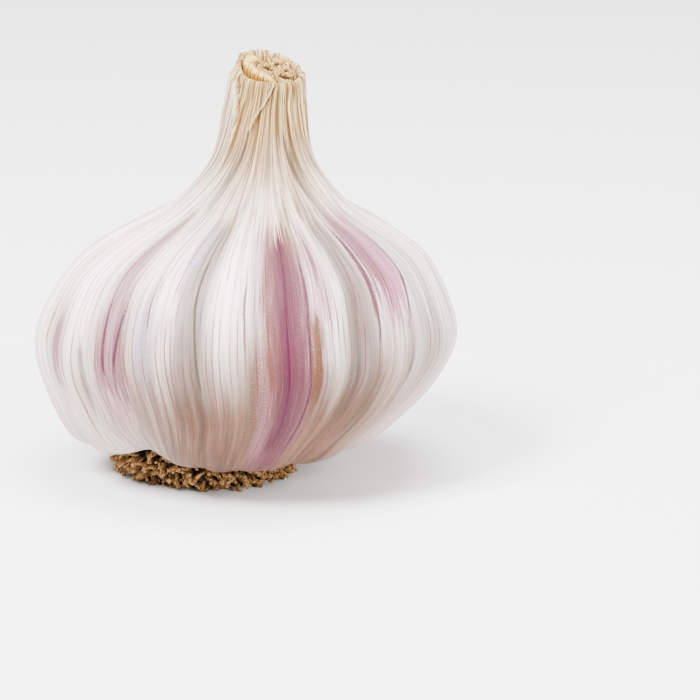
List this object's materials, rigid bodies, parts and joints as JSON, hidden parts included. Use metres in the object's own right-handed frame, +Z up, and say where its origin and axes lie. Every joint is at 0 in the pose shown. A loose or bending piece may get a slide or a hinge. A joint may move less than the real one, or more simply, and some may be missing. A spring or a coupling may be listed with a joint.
{
  "type": "garlic bulb",
  "caption": "Whole garlic bulb in papery skin, lobed by its cloves, drawn up into a pleated neck with a slanting cut end, resting on its tuft of root stubs.",
  "frame": {"origin": "middle of the flat spot on the root tuft that the bulb rests on", "axes": "+Z up out of the flat spot, +X towards the side that the neck leans to, +Y from front to back across the narrowest width"},
  "size_m": [0.0613, 0.0577, 0.0616],
  "materials": {
    "skin": "dry silky papery skin, white with pink and purple streaks, tan at the neck",
    "sheath": "dry leaf sheath, straw yellow, finely ribbed",
    "stem": "cut dry stem, grainy and fibrous",
    "root": "dry brown root stubs, rough"
  },
  "bodies": {
    "root": {"bulb": "skin", "inner_sheath": "sheath", "stem_core": "stem", "root_tuft": "root"}
  },
  "joints": []
}
